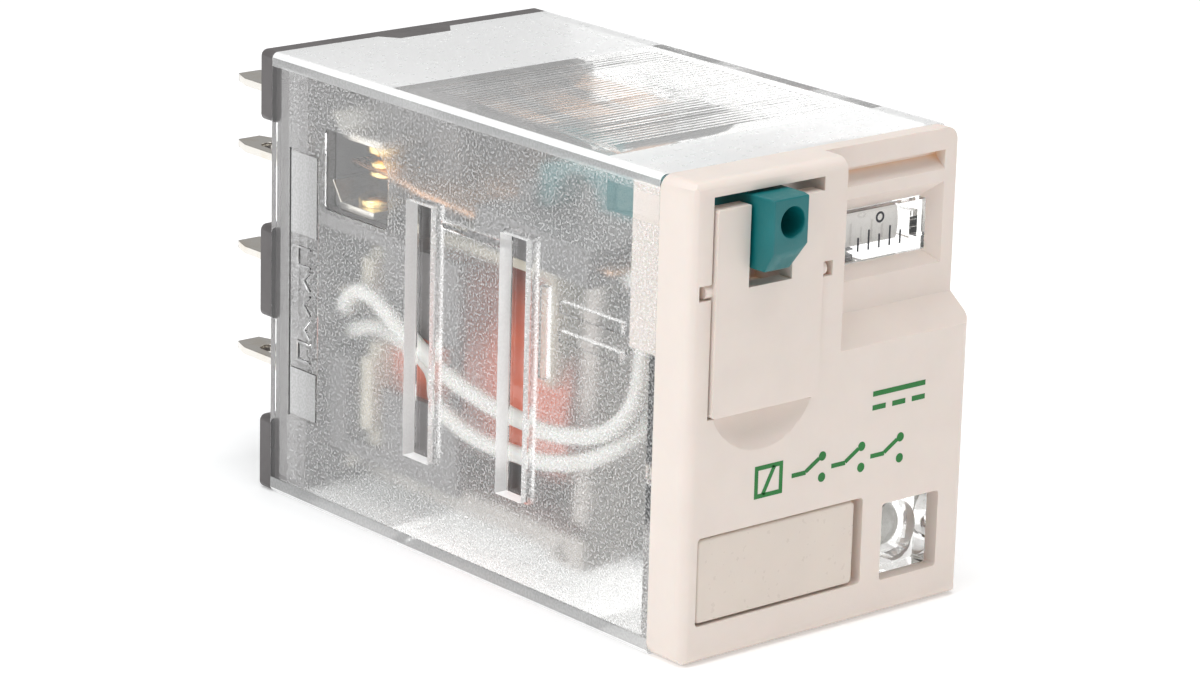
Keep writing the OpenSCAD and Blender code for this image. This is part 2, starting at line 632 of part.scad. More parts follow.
// A round wire swept along points: a ring at each point, carried on from ring to ring without twisting
wire_sides = 10;
function unit(v) = v / norm(v);
function tangent(p, i) = unit(p[min(i + 1, len(p) - 1)] - p[max(i - 1, 0)]);
function across_wire(p, i, a) = i == len(p) ? [] : let (t = tangent(p, i), b = unit(a - (a * t) * t))
    concat([b], across_wire(p, i + 1, b));
function ring(c, t, a, r) = let (b = cross(t, a)) [for (k = [0:wire_sides - 1])
    c + r * (cos(360 * k / wire_sides) * a + sin(360 * k / wire_sides) * b)];
// A smooth curve through the route's points
function bend(a, b, c, d, u) = (2 * b + (c - a) * u + (2 * a - 5 * b + 4 * c - d) * u * u
    + (3 * b - a - 3 * c + d) * u * u * u) / 2;
function smooth(p, n) = [for (i = [0:len(p) - 2], k = [0:n - 1])
    bend(p[max(i - 1, 0)], p[i], p[i + 1], p[min(i + 2, len(p) - 1)], k / n), p[len(p) - 1]];

module wire(route, r) {
    p = smooth(route, 2);
    n = len(p);
    m = wire_sides;
    a = across_wire(p, 0, unit([0.2, 0.5, 1]));
    points = [for (i = [0:n - 1]) each ring(p[i], tangent(p, i), a[i], r)];
    sides = [for (i = [0:n - 2], k = [0:m - 1]) each let (q = i * m + k, s = i * m + (k + 1) % m)
        [[q, s, s + m], [q, s + m, q + m]]];
    polyhedron(points = points, faces = concat(
        sides, [[for (k = [m - 1:-1:0]) k]], [[for (k = [0:m - 1]) (n - 1) * m + k]]));
}

module lead_wire(route, s) in_place() color("white") wire([for (p = route) [s * p[0], p[1], p[2]]], wire_r);

// ---------- status lamp and flag ----------

module led_lamp() in_place() color("honeydew") {
    dome_d = led_face + 1.15 + lamp_r;
    bar_d(lamp[0], dome_d, 7.2, lamp[1], lamp_r);
    bar_d(lamp[0], 7.2, 8, lamp[1], lamp_r + 0.4);
    translate([lamp[0], dome_d, lamp[1]]) sphere(lamp_r);
}

module led_board() in_place() color("darkgreen") block([1.6, 8, 1], [9.5, 8.8, 7.6]);

module led_resistor() in_place() color("tan") {
    bar_x(2.8, 6.2, 9.75, 6.2, 0.8);
    bar_x(2.2, 6.8, 9.75, 6.2, 0.25);
    for (x = [2.3, 6.7]) bar_d(x, 8.8, 9.75, 6.2, 0.25);
}

module led_leads() in_place() color("silver") {
    r = 0.25;
    // to the near coil blade
    bar_d(8.9, 8.8, 34.1, 3.6, r);
    translate([8.9, 34.1, 3.6 - r]) cylinder(h = row_coil - 3.6 + 2 * r, r = r);
    bar_x(coil_x + blade_w / 2, 8.9, 34.1, row_coil, r);
    // to the far coil blade, behind the yoke
    bar_d(8.9, 8.8, 34.1, 2.2, r);
    bar_x(-coil_x, 8.9, 34.1, 2.2, r);
    translate([-coil_x, 34.1, 2.2 - r]) cylinder(h = row_coil - blade_t / 2 - 2.2 + r, r = r);
}

module flag_sector(r, a0, a1) intersection() {
    difference() {
        circle(r[1]);
        circle(r[0]);
    }
    polygon([[0, 0], 5 * [cos(a0), sin(a0)], 5 * [cos((a0 + a1) / 2), sin((a0 + a1) / 2)], 5 * [cos(a1), sin(a1)]]);
}

module status_flag() in_place() color("white") {
    translate([0, flag_d, flag_z]) {
        across(flag_x[0], flag_x[1]) {
            flag_sector(flag_r, 110, 200);
            circle(0.85);
            polygon([[-2.4, 0.4], [0, 0.5], [0, -0.5], [-2.4, -0.4]]);
        }
        bar_x(flag_x[0] - 0.65, flag_x[1] + 0.65, 0, 0, flag_pin_r);
        rotate([-lever_tilt, 0, 0]) across(4.75, 5.45) polygon([[-0.3, 0], [0.3, 0], [0.2, -2], [-0.2, -2]]);
    }
}

module flag_stripe() in_place() color("orange") translate([0, flag_d, flag_z])
    across(flag_x[0] + 0.2, flag_x[1] - 0.2) flag_sector([flag_r[1], flag_r[1] + 0.1], 112, 142);

front_frame();
clear_cover();
base();
lock_door();
test_button();
legend_tab();
for (i = [0:3]) {
    break_blade(poles[i]);
    make_blade(poles[i]);
    short_blade(poles[i], row_com);
    moving_spring(poles[i]);
    lead_wire(i == 0 || i == 3 ? outer_route : inner_route, i < 2 ? 1 : -1);
}
short_blade(-coil_x, row_coil);  // coil_blade_1
short_blade(coil_x, row_coil);  // coil_blade_2
break_contacts();
make_contacts();
moving_contacts();
moving_block();
armature();
block_rivets();
armature_spring();
yoke();
core();
bobbin();
coil_winding();
coil_tape();
coil_tails();
led_lamp();
led_board();
led_resistor();
led_leads();
status_flag();
flag_stripe();
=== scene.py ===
"""A plug-in industrial relay with a clear cover, lying on its narrow side on a pale floor.

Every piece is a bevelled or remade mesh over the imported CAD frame. Lengths in the tables are in millimetres,
and a place is (across, depth behind the front face, height above the floor)."""

import json
import math

import bmesh
import bpy
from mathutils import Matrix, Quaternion, Vector


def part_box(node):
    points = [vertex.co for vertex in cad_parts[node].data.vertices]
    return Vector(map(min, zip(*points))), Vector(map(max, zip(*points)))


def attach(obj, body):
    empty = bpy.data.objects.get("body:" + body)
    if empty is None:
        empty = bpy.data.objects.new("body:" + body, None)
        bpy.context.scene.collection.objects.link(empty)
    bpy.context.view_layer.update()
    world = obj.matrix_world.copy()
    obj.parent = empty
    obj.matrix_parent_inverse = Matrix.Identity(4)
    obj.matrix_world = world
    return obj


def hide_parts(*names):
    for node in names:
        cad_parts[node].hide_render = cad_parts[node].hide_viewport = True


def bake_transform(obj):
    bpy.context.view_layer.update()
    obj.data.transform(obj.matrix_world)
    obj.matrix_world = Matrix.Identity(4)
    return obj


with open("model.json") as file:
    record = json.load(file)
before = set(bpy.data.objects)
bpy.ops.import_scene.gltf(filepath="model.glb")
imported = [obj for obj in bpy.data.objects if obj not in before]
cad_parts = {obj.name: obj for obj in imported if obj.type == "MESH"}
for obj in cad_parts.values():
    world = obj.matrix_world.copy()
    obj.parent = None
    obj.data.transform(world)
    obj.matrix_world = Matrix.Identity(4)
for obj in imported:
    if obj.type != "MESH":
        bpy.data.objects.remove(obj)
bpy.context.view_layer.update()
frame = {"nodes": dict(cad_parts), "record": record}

MM = 0.001
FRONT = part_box("front_frame")[0][1]  # the plane of the front face
CASE_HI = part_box("clear_cover")[1]
WIDE, TALL = CASE_HI[0] / MM, CASE_HI[2] / MM  # half width and height of the case
BODY_OF = {node: body for body, nodes in frame["record"]["behaviour"]["bodies"].items() for node in nodes}
SLOT_OF = {s["node"]: s["material_slot"] for s in frame["record"]["subparts"]}
WHITE = (1, 1, 1)


def place(x, d, z):
    """A point given in millimetres as across, depth and height, in the row frame in metres."""
    return Vector((x * MM, FRONT + d * MM, z * MM))


def depth_of(point):
    return (point.y - FRONT) / MM


def middle(edge):
    """The middle of an edge."""
    return (edge.verts[0].co + edge.verts[1].co) / 2


def between(value, pair):
    return pair[0] < value < pair[1]


def grown(pair, margin):
    """A span, wider by a margin at both ends."""
    return pair[0] - margin, pair[1] + margin


# ---------- camera, light and floor ----------

VIEW_AZIMUTH, VIEW_HEIGHT, VIEW_ROLL = math.radians(-40.56), math.radians(16.48), math.radians(1.55)
VIEW_DISTANCE, VIEW_LENS = 254.4, 132.6
VIEW_RIGHT, VIEW_UP = -1.15, -0.95  # how far the camera stands off the line through the case's middle
CASE_MIDDLE = (0, 18, 13.5)

SKY_COLOUR = (1.0, 0.995, 0.985)
SKY_LIGHT, SKY_SEEN = 0.40, 1.08  # the white surroundings as a light, and as seen past or through the relay
FLOOR_GLOW, FLOOR_GLOW_SEEN = 0.22, 1.35  # the lit table as a light, and as seen through clear plastic
FLOOR_HALF, FLOOR_GAP = 4, 0.02  # metres from its middle to its sides, and millimetres below the relay

# Azimuth and height in degrees, distance and size in metres, power in watts
LAMPS = {
    "side": dict(azimuth=-95, height=35, distance=0.5, size=0.3, power=1.0, colour=(0.95, 0.98, 1.0)),
    "top": dict(azimuth=-20, height=85, distance=0.5, size=0.4, power=1.75, colour=(0.98, 0.99, 1.0)),
    "front": dict(azimuth=25, height=20, distance=0.6, size=0.3, power=0.22, colour=(1, 0.93, 0.86)),
}
LAMP_AIM = Vector((0, 0, 0.013))  # in metres


def direction(azimuth, height):
    """The unit vector from the relay towards a viewer or a lamp, from angles in radians."""
    flat = math.cos(height)
    return Vector((math.sin(azimuth) * flat, -math.cos(azimuth) * flat, math.sin(height)))


def make_camera():
    data = bpy.data.cameras.new("camera")
    data.lens = VIEW_LENS
    data.clip_start, data.clip_end = 0.01, 10
    camera = bpy.data.objects.new("camera", data)
    bpy.context.collection.objects.link(camera)
    back = direction(VIEW_AZIMUTH, VIEW_HEIGHT)
    turn = back.to_track_quat("Z", "Y") @ Quaternion((0, 0, 1), VIEW_ROLL)
    right, up = turn @ Vector((1, 0, 0)), turn @ Vector((0, 1, 0))
    camera.rotation_mode = "QUATERNION"
    camera.rotation_quaternion = turn
    camera.location = place(*CASE_MIDDLE) + (back * VIEW_DISTANCE + right * VIEW_RIGHT + up * VIEW_UP) * MM
    bpy.context.scene.camera = camera


def make_light(name, azimuth, height, distance, size, power, colour):
    """A square lamp aimed at the relay."""
    data = bpy.data.lights.new(name, "AREA")
    data.energy, data.size, data.color = power, size, colour
    lamp = bpy.data.objects.new(name, data)
    bpy.context.collection.objects.link(lamp)
    away = direction(math.radians(azimuth), math.radians(height))
    lamp.location = LAMP_AIM + away * distance
    lamp.rotation_mode = "QUATERNION"
    lamp.rotation_quaternion = away.to_track_quat("Z", "Y")


def sight_ray(tree, kinds=("Is Camera Ray", "Is Transmission Ray")):
    """1 for rays that see things, 0 for rays that gather light."""
    path = tree.nodes.new("ShaderNodeLightPath")
    found = path.outputs[kinds[0]]
    for kind in kinds[1:]:
        either = tree.nodes.new("ShaderNodeMath")
        either.operation = "MAXIMUM"
        tree.links.new(found, either.inputs[0])
        tree.links.new(path.outputs[kind], either.inputs[1])
        found = either.outputs["Value"]
    return found


def make_sky():
    """The white studio, weaker as a light than it looks."""
    world = bpy.data.worlds.new("studio")
    world.use_nodes = True
    tree = world.node_tree
    sky = tree.nodes["Background"]
    sky.inputs["Color"].default_value = (*SKY_COLOUR, 1)
    level = tree.nodes.new("ShaderNodeMapRange")
    level.inputs["To Min"].default_value, level.inputs["To Max"].default_value = SKY_LIGHT, SKY_SEEN
    tree.links.new(sight_ray(tree), level.inputs["Value"])
    tree.links.new(level.outputs["Result"], sky.inputs["Strength"])
    bpy.context.scene.world = world


def make_floor():
    """The pale floor, which looks lit from below where it is seen through clear plastic."""
    mesh = bpy.data.meshes.new("floor")
    corners = [(x * FLOOR_HALF, y * FLOOR_HALF, 0) for x, y in ((-1, -1), (1, -1), (1, 1), (-1, 1))]
    mesh.from_pydata(corners, [], [(0, 1, 2, 3)])
    floor = bpy.data.objects.new("floor", mesh)
    bpy.context.collection.objects.link(floor)
    floor.location.z = -FLOOR_GAP * MM
    paint = Paint("floor_white", (0.92, 0.92, 0.92), 0.6, Emission_Color=(*WHITE, 1))
    glow = paint.ramp(sight_ray(paint.tree, ("Is Transmission Ray",)), 0, 1, FLOOR_GLOW, FLOOR_GLOW_SEEN)
    paint.link(glow, paint.shader.inputs["Emission Strength"])
    mesh.materials.append(paint.material)


def set_light_paths():
    """Enough bounces for light to cross the many walls of the clear cover."""
    scene = bpy.context.scene
    scene.view_settings.view_transform = "Standard"
    scene.cycles.caustics_refractive = False
    scene.cycles.caustics_reflective = False
    scene.cycles.max_bounces = 40
    scene.cycles.transmission_bounces = 36
    scene.cycles.transparent_max_bounces = 24
    scene.cycles.diffuse_bounces = 4
    scene.cycles.glossy_bounces = 4


# ---------- materials ----------

SPECK = 0.4  # how far apart specks of dust may be, in millimetres
LIGHT_LET_IN = (0.93, 0.93, 0.93)
METAL_LINES = 0.004  # height of the fine lines on metal, in millimetres
WINDING_PITCH = 1.1  # millimetres from one band of turns to the next
FROST_GRAIN = 0.14  # millimetres across one grain of the frosting
FROST_SHADE = (0.5, 0.49, 0.48)  # tone of the darker grains
FROST_SHADING = 3.6  # how strongly the spread of the haze brings that tone out


class Paint:
    """A node material on one Principled shader. Plain values go straight on its sockets."""

    def __init__(self, name, colour, roughness, **sockets):
        self.material = bpy.data.materials.new(name)
        self.material.use_nodes = True
        self.tree = self.material.node_tree
        self.shader = self.tree.nodes["Principled BSDF"]
        self.output = self.tree.nodes["Material Output"]
        self.colour = colour
        self.shader.inputs["Base Color"].default_value = (*colour, 1)
        self.shader.inputs["Roughness"].default_value = roughness
        for socket, value in sockets.items():
            self.shader.inputs[socket.replace("_", " ")].default_value = value
        self.where = self.node("ShaderNodeTexCoord").outputs["Object"]
        self.normal = None

    def node(self, kind, **settings):
        made = self.tree.nodes.new(kind)
        for key, value in settings.items():
            setattr(made, key, value)
        return made

    def link(self, a, b):
        self.tree.links.new(a, b)

    def noise(self, size, detail, stretch=(1, 1, 1)):
        """Soft spots about that many millimetres wide, 0 to 1, drawn out by stretch."""
        mapping = self.node("ShaderNodeMapping")
        mapping.inputs["Scale"].default_value = [1 / (size * MM * s) for s in stretch]
        self.link(self.where, mapping.inputs["Vector"])
        spots = self.node("ShaderNodeTexNoise")
        spots.inputs["Scale"].default_value = 1
        spots.inputs["Detail"].default_value = detail
        self.link(mapping.outputs["Vector"], spots.inputs["Vector"])
        return spots.outputs["Fac"]

    def ramp(self, value, low, high, to_low=0.0, to_high=1.0):
        remap = self.node("ShaderNodeMapRange")
        for socket, number in zip(("From Min", "From Max", "To Min", "To Max"), (low, high, to_low, to_high)):
            remap.inputs[socket].default_value = number
        self.link(value, remap.inputs["Value"])
        return remap.outputs["Result"]

    def tint(self, value, other):
        """Mixes the base colour towards another where value is high."""
        mix = self.node("ShaderNodeMix", data_type="RGBA")
        previous = self.shader.inputs["Base Color"]
        if previous.is_linked:
            self.link(previous.links[0].from_socket, mix.inputs["A"])
        else:
            mix.inputs["A"].default_value = (*self.colour, 1)
        mix.inputs["B"].default_value = (*other, 1)
        self.link(value, mix.inputs["Factor"])
        self.link(mix.outputs["Result"], self.shader.inputs["Base Color"])
        return self

    def rough(self, value, low, high):
        """Roughness from low to high over the middle of the value's range."""
        self.link(self.ramp(value, 0.3, 0.7, low, high), self.shader.inputs["Roughness"])
        return self

    def bump(self, value, height):
        """Relief of that many millimetres."""
        relief = self.node("ShaderNodeBump")
        relief.inputs["Distance"].default_value = height * MM
        self.link(value, relief.inputs["Height"])
        if self.normal:
            self.link(self.normal, relief.inputs["Normal"])
        self.normal = relief.outputs["Normal"]
        self.link(self.normal, self.shader.inputs["Normal"])
        return self

    def specks(self, colour):
        """A few tiny specks of dust, where the noise is near its top."""
        return self.tint(self.ramp(self.noise(SPECK, 0), 0.93, 0.94), colour)

    def painted_gap_glow(self, colour, reach):
        """Paints a warm glow into narrow gaps, where light that has soaked through the plastic would gather.
        """
        shade = self.node("ShaderNodeAmbientOcclusion", samples=8, only_local=True)
        shade.inputs["Distance"].default_value = reach * MM
        return self.tint(self.ramp(shade.outputs["AO"], 0.6, 0.1, 0, 0.75), colour)

    def lets_lamps_through(self):
        """Light reaches what the clear cover holds without being bent, and a little weaker."""
        path = self.node("ShaderNodeLightPath")
        either = self.node("ShaderNodeMath", operation="MAXIMUM")
        self.link(path.outputs["Is Shadow Ray"], either.inputs[0])
        self.link(path.outputs["Is Diffuse Ray"], either.inputs[1])
        open_air = self.node("ShaderNodeBsdfTransparent")
        open_air.inputs["Color"].default_value = (*LIGHT_LET_IN, 1)
        mix = self.node("ShaderNodeMixShader")
        self.link(either.outputs["Value"], mix.inputs["Fac"])
        self.link(self.shader.outputs["BSDF"], mix.inputs[1])
        self.link(open_air.outputs["BSDF"], mix.inputs[2])
        self.link(mix.outputs["Shader"], self.output.inputs["Surface"])
        return self


def darker(colour, by):
    return tuple(c * by for c in colour)


def moulded(name, colour, roughness=0.42, grain=0.012, shade=0.93, glow=0.0):
    """Moulded plastic: faint cloudiness, fine texture and a slightly uneven gloss."""
    extra = {"Subsurface_Weight": glow, "Subsurface_Scale": 0.8 * MM} if glow else {}
    paint = Paint(name, colour, roughness, IOR=1.5, **extra)
    paint.tint(paint.ramp(paint.noise(2.5, 4), 0.35, 0.7), darker(colour, shade))
    paint.rough(paint.noise(0.4, 3), roughness * 0.88, min(1, roughness * 1.15))
    paint.bump(paint.noise(0.09, 2), grain)
    return paint


def clear_plastic(name, roughness, haze=0.0, spread=0.0, grain=0.0, **sockets):
    """Clear plastic. Haze is how much of it scatters white, and spread how far that varies
    from grain to grain. Grain is the height of its fine relief."""
    paint = Paint(name, (0.97, 0.97, 0.965), roughness, IOR=1.56, Transmission_Weight=1 - haze, **sockets)
    if spread:
        spots = paint.noise(FROST_GRAIN, 0)
        paint.tint(paint.ramp(spots, 0.4, 0.6, 0, spread * FROST_SHADING), FROST_SHADE)
        veil = paint.ramp(spots, 0.35, 0.65, 1 - haze - spread, 1 - haze + spread)
        paint.link(veil, paint.shader.inputs["Transmission Weight"])
    if grain:
        paint.bump(paint.noise(0.12, 2), grain)
    paint.rough(paint.noise(0.6, 4), roughness * 0.85, roughness * 1.15)
    return paint.lets_lamps_through()


def metal(name, colour, roughness, along=(1, 1, 1), stain=None):
    """Rolled or plated metal with fine lines along the sheet and faint tarnish."""
    paint = Paint(name, colour, roughness, Metallic=1.0)
    lines = paint.noise(0.05, 4, along)
    paint.rough(lines, roughness * 0.75, min(1, roughness * 1.35))
    paint.bump(lines, METAL_LINES)
    paint.tint(paint.ramp(paint.noise(1.2, 5), 0.45, 0.75, 0, 0.55), stain or darker(colour, 0.78))
    return paint


def wire_sleeve():
    paint = Paint("wire_sleeve", (0.84, 0.83, 0.80), 0.4, Subsurface_Weight=0.1, Subsurface_Scale=0.3 * MM)
    paint.tint(paint.ramp(paint.noise(1.5, 3), 0.4, 0.7), (0.78, 0.76, 0.71))
    return paint.bump(paint.noise(0.2, 2), 0.006)


def enamelled_copper():
    paint = Paint("enamelled_copper", (0.52, 0.17, 0.05), 0.25, Metallic=0.7, Coat_Weight=0.6)
    turns = paint.node("ShaderNodeTexWave", bands_direction="Y")
    turns.inputs["Scale"].default_value = 1 / (WINDING_PITCH * MM)
    paint.link(paint.where, turns.inputs["Vector"])
    paint.bump(turns.outputs["Fac"], 0.03)
    # Painted shade: the valleys between the turns are darkened
    return paint.tint(paint.ramp(turns.outputs["Fac"], 0.5, 0, 0, 0.7), (0.2, 0.05, 0.02))


def coil_tape():
    paint = Paint("coil_tape", (0.80, 0.13, 0.035), 0.28, Coat_Weight=0.5)
    paint.tint(paint.ramp(paint.noise(2, 4, (1, 3, 1)), 0.4, 0.75), (0.62, 0.09, 0.03))
    return paint.bump(paint.noise(0.8, 4, (1, 3, 1)), 0.05)


def circuit_board():
    paint = Paint("circuit_board", (0.82, 0.82, 0.79), 0.3, Coat_Weight=0.4)
    paint.tint(paint.ramp(paint.noise(0.8, 2), 0.5, 0.56), (0.72, 0.71, 0.66))
    return paint.bump(paint.noise(0.5, 2), 0.01)


def lamp_resin():
    paint = Paint("lamp_resin", (0.93, 0.96, 0.93), 0.05, IOR=1.5, Transmission_Weight=0.95)
    paint.rough(paint.noise(0.5, 2), 0.03, 0.09)
    return paint.lets_lamps_through()


def frame_plastic():
    paint = moulded("cream_plastic", (0.79, 0.70, 0.64), 0.42, grain=0.006, shade=0.965, glow=0.12)
    # Dust specks, and a painted warm glow in the narrow gaps that stands in for light through the plastic
    return paint.specks((0.25, 0.18, 0.12)).painted_gap_glow((0.86, 0.48, 0.18), 0.9)


def legend_plastic():
    return moulded("legend_plastic", (0.72, 0.635, 0.565), 0.3, grain=0.004, shade=0.97, glow=0.1)


def make_paints():
    """One paint for each material slot of the record, then those of the cover's fields and of the prints."""
    along_y, along_x = (1, 12, 1), (10, 1, 1)
    # A faint white glow painted on the cover's hazy edges and channel walls, as a painted highlight
    painted_edge_glow = {"Emission_Color": (*WHITE, 1), "Emission_Strength": 0.16}
    return {
        "frame_plastic": frame_plastic(),
        "base_plastic": moulded("dark_plastic", (0.11, 0.10, 0.10), 0.38, grain=0.01, shade=0.8),
        "button_plastic": moulded("teal_plastic", (0.0, 0.155, 0.165), 0.4, grain=0.006, shade=0.85),
        "legend_plastic": legend_plastic(),
        "block_plastic": moulded("block_plastic", (0.09, 0.085, 0.085), 0.4),
        "bobbin_plastic": moulded("bobbin_plastic", (0.70, 0.64, 0.52), 0.45),
        "flag_plastic": moulded("flag_plastic", (0.8, 0.79, 0.76), 0.4),
        "flag_colour": moulded("flag_colour", (0.85, 0.2, 0.02), 0.45),
        "tinned_blade": metal("tinned_blade", (0.80, 0.77, 0.72), 0.2, along_y, stain=(0.72, 0.62, 0.48)),
        "spring_copper": metal("copper_strip", (0.86, 0.50, 0.30), 0.26, along_y),
        "gold_contact": metal("gold_contact", (0.93, 0.68, 0.30), 0.2),
        "plated_iron": metal("plated_iron", (0.44, 0.41, 0.385), 0.42, along_x),
        "rivet_steel": metal("rivet_steel", (0.66, 0.65, 0.63), 0.3),
        "spring_steel": metal("spring_steel", (0.64, 0.65, 0.67), 0.25, along_x),
        "wire_sleeve": wire_sleeve(),
        "enamelled_copper": enamelled_copper(),
        "coil_tape": coil_tape(),
        "circuit_board": circuit_board(),
        "resistor_body": moulded("resistor_lacquer", (0.55, 0.42, 0.28), 0.3),
        "lamp_resin": lamp_resin(),
        "clear_plastic": clear_plastic("clear_plastic", 0.03),
        "frosted": clear_plastic("frosted_plastic", 0.22, haze=0.15, spread=0.14, grain=0.004),
        "raised": clear_plastic("raised_plastic", 0.2, haze=0.32, spread=0.02),
        # Hazy plastic with a painted white glow, for the rounded edges and channel walls
        "hazy": clear_plastic("hazy_plastic_painted_glow", 0.2, haze=0.7, spread=0.01, **painted_edge_glow),
        "bright_top": clear_plastic("bright_top_plastic", 0.04, haze=0.22, spread=0.01),
        "frosted_top": clear_plastic("frosted_top_plastic", 0.3, haze=0.74, spread=0.01),
        "green_ink": moulded("green_ink", (0.01, 0.19, 0.03), 0.55, grain=0.004, shade=0.85),
        "dark_ink": moulded("dark_ink", (0.03, 0.03, 0.04), 0.5, grain=0.004, shade=0.85),
    }


# ---------- meshes ----------

SMOOTH_UNDER, FLAT_UNDER = math.radians(40), math.radians(0.5)
WELD = 0.0005  # CAD corners nearer than this are one, in millimetres


def add_piece(name, bm, paint, body):
    """Puts a bmesh into the scene as one shaded piece that rides on a body."""
    mesh = bpy.data.meshes.new(name)
    bm.to_mesh(mesh)
    bm.free()
    for one in paint if isinstance(paint, list) else [paint]:
        mesh.materials.append(one.material)
    mesh.shade_smooth()
    mesh.set_sharp_from_angle(angle=SMOOTH_UNDER)
    piece = bpy.data.objects.new(name, mesh)
    bpy.context.collection.objects.link(piece)
    weigh = piece.modifiers.new("weighted", "WEIGHTED_NORMAL")
    weigh.keep_sharp = True
    if body:
        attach(piece, body)
    return piece


def node_mesh(node):
    """A CAD node's mesh as clean flat faces."""
    bm = bmesh.new()
    bm.from_mesh(frame["nodes"][node].data)
    bmesh.ops.remove_doubles(bm, verts=bm.verts, dist=WELD * MM)
    bmesh.ops.dissolve_limit(bm, angle_limit=FLAT_UNDER, verts=bm.verts, edges=bm.edges)
    return bm


def soften(bm, width, wanted=lambda edge: True):
    """Rounds the sharp edges that are wanted."""
    sharp = [e for e in bm.edges if e.is_manifold and e.calc_face_angle() > SMOOTH_UNDER and wanted(e)]
    bmesh.ops.bevel(bm, geom=sharp, offset=width * MM, segments=2, profile=0.5,
                    affect="EDGES", clamp_overlap=True, loop_slide=True)


# The thumb dish below the door is part of a ball
DISH_CENTRE, DISH_RADIUS = (-5.25, -6.542, 15.5), 7.642
DISH_RIM, DISH_TOP = 3.95, 13.95  # radius of its rim, and the height above which the door's pocket takes over
DISH_BOX = ((-9.9, -0.7), (-0.1, 1.3), (11, 20))  # across, in depth and in height
ON_DISH, NEAR_DISH = 0.03, 0.12  # how far a corner may be off the ball, before and after its mesh is refined
DISH_TOP_GAP = 0.1  # corners nearer the dish's top than this stay where they are
ON_FRONT = 0.002  # how near the front face's plane a corner counts as on it


def clear_of_dish(edge):
    """Whether an edge is away from the thumb dish, whose rim stays crisp."""
    c = middle(edge)
    return not all(between(value, span) for value, span in zip((c.x / MM, depth_of(c), c.z / MM), DISH_BOX))


def round_dish(bm):
    """Gives the thumb dish a smooth hollow and a round rim."""
    centre = place(*DISH_CENTRE)
    rim_centre = place(DISH_CENTRE[0], 0, DISH_CENTRE[2])

    def off_ball(vert):
        return abs((vert.co - centre).length / MM - DISH_RADIUS)

    def in_dish(vert):
        return off_ball(vert) < ON_DISH and vert.co.z / MM < DISH_TOP

    edges = dict.fromkeys(e for f in bm.faces if all(in_dish(v) for v in f.verts) for e in f.edges)
    bmesh.ops.subdivide_edges(bm, edges=list(edges), cuts=3, use_grid_fill=True)
    for vert in bm.verts:
        if off_ball(vert) > NEAR_DISH or vert.co.z / MM > DISH_TOP - DISH_TOP_GAP:
            continue
        if abs(depth_of(vert.co)) < ON_FRONT:
            vert.co = rim_centre + (vert.co - rim_centre).normalized() * DISH_RIM * MM
        elif depth_of(vert.co) > 0:
            vert.co = centre + (vert.co - centre).normalized() * DISH_RADIUS * MM


def refined(node, paint, width):
    """The CAD node's shape with rounded edges, standing for that node."""
    bm = node_mesh(node)
    if node == "front_frame":
        soften(bm, width, clear_of_dish)
        round_dish(bm)
    elif width:
        soften(bm, width)
    piece = add_piece(node + "_piece", bm, paint, BODY_OF[node])
    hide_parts(node)


# How much the edges of each node are rounded, in millimetres. Those of thin wire and film stay as they are.
EDGES = {
    "front_frame": 0.15, "base": 0.12, "lock_door": 0.15, "test_button": 0.14, "legend_tab": 0.14,
    "armature": 0.12, "moving_block": 0.15, "yoke": 0.15, "core": 0.15, "bobbin": 0.15, "block_rivets": 0.08,
    "armature_spring": 0.04, "coil_winding": 0.1, "coil_tape": 0.1, "led_board": 0.05, "led_resistor": 0.15,
    "led_lamp": 0.1, "status_flag": 0.08,
    "break_contacts": 0.06, "make_contacts": 0.06, "moving_contacts": 0.06,
}
BLADE_EDGE, SPRING_EDGE = 0.07, 0.04


def edge_of(node):
    """The rounding of a node, from its own entry or from its kind."""
    if node in EDGES:
        return EDGES[node]
    if "blade" in node:
        return BLADE_EDGE
    return SPRING_EDGE if "spring" in node else 0.0


# ---------- the clear cover ----------

# The fields of the cover, as spans in depth and in height
FROST_DEPTH, FROST_HEIGHT = (2.9, 35.9), (0.95, 26.2)  # the frosted field of the broad sides
STRIP_DEPTH, STRIP_HEIGHT = (33.0, 35.8), (5.3, 21.7)  # the sunk strip, with raised pads and marks
STRIP_SUNK = 0.12
PATCH_DEPTH, PATCH_HEIGHT = (3.5, 7.2), (24.2, 25.8)  # a small polished patch
CHANNEL_DEPTHS, CHANNEL_HEIGHT = ((13.9, 16.2), (22.4, 24.7)), (5.7, 20.9)
CHANNEL_DEEP = 0.85
GRIP_DEPTH, GRIP_WIDTH = (8.9, 25.4), 8.45  # the ridged grip on both narrow sides
GRIP_FIELD = (7.6, 26.6)  # before and behind this the narrow sides are frosted
WINDOW_FACE = 2.35  # depth of the flag window's clear face
WINDOW_PARTS = 2.4  # only the two windows of the cover come nearer the front than this

COVER_EDGE = 0.1
SKIN = 0.03  # how near the outer surface a face counts as on it
ROUND = 0.6  # reach of the rounded long edges
END_REACH, RIDGE_REACH = 0.3, 0.5  # how far the outer faces and the ridges of the narrow sides reach inwards
MARGIN = 0.1  # how far a field's own small edges may lie beyond its span
CUT_NEAR = 1e-7  # in metres

CLEAR, FROSTED, RAISED, HAZY, BRIGHT_TOP, FROSTED_TOP = range(6)
COVER_PAINTS = ("clear_plastic", "frosted", "raised", "hazy", "bright_top", "frosted_top")
DEPTH, HEIGHT = 1, 2  # axes


def within(d, z, depths, heights):
    return between(d, depths) and between(z, heights)


def at_end(z, reach):
    """Whether a height is that near either narrow side."""
    return z > TALL - reach or z < reach


def cut(bm, faces, axis, value):
    """Splits faces along the plane where the depth or the height has that value."""
    at = place(*[value if axis == i else 0 for i in range(3)])
    normal = Vector([float(axis == i) for i in range(3)])
    geom = dict.fromkeys(part for face in faces for part in (face, *face.edges, *face.verts))
    bmesh.ops.bisect_plane(bm, geom=list(geom), plane_co=at, plane_no=normal, dist=CUT_NEAR)


def on_broad_side(face):
    return abs(face.normal.x) > 0.9 and abs(face.calc_center_median().x / MM) > WIDE - SKIN


def on_narrow_side(face):
    return abs(face.normal.z) > 0.9 and at_end(face.calc_center_median().z / MM, SKIN)


